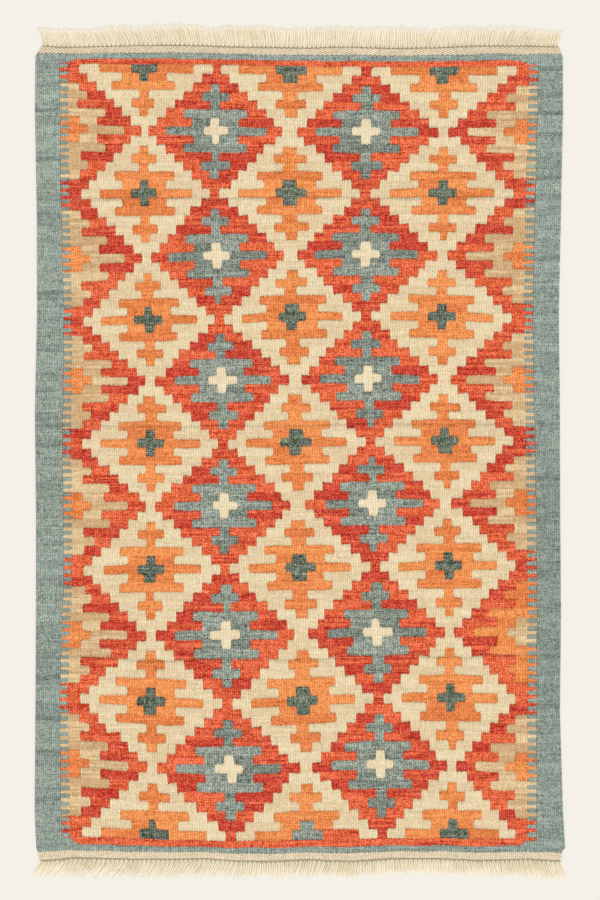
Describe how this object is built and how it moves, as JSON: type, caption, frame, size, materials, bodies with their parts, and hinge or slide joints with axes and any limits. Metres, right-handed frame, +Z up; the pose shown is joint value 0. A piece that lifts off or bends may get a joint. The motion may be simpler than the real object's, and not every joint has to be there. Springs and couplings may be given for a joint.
{
  "type": "kilim rug",
  "caption": "Flat-woven kilim rug lying flat: an oblong cloth with stepped diamond field, plain border, undyed end webs and a warp fringe along both short ends.",
  "frame": {"origin": "on the floor, under the middle of the rug's bounding box, fringe included", "axes": "+X across the rug, +Y along it towards fringe_top, +Z up from the floor"},
  "size_m": [1.012, 1.625, 0.003],
  "materials": {
    "woven_wool": "matt flat-woven wool with warp ribs",
    "fringe_cotton": "undyed twisted cotton warp ends"
  },
  "bodies": {
    "root": {"kilim_cloth": "woven_wool", "fringe_top": "fringe_cotton", "fringe_bottom": "fringe_cotton"}
  },
  "joints": []
}
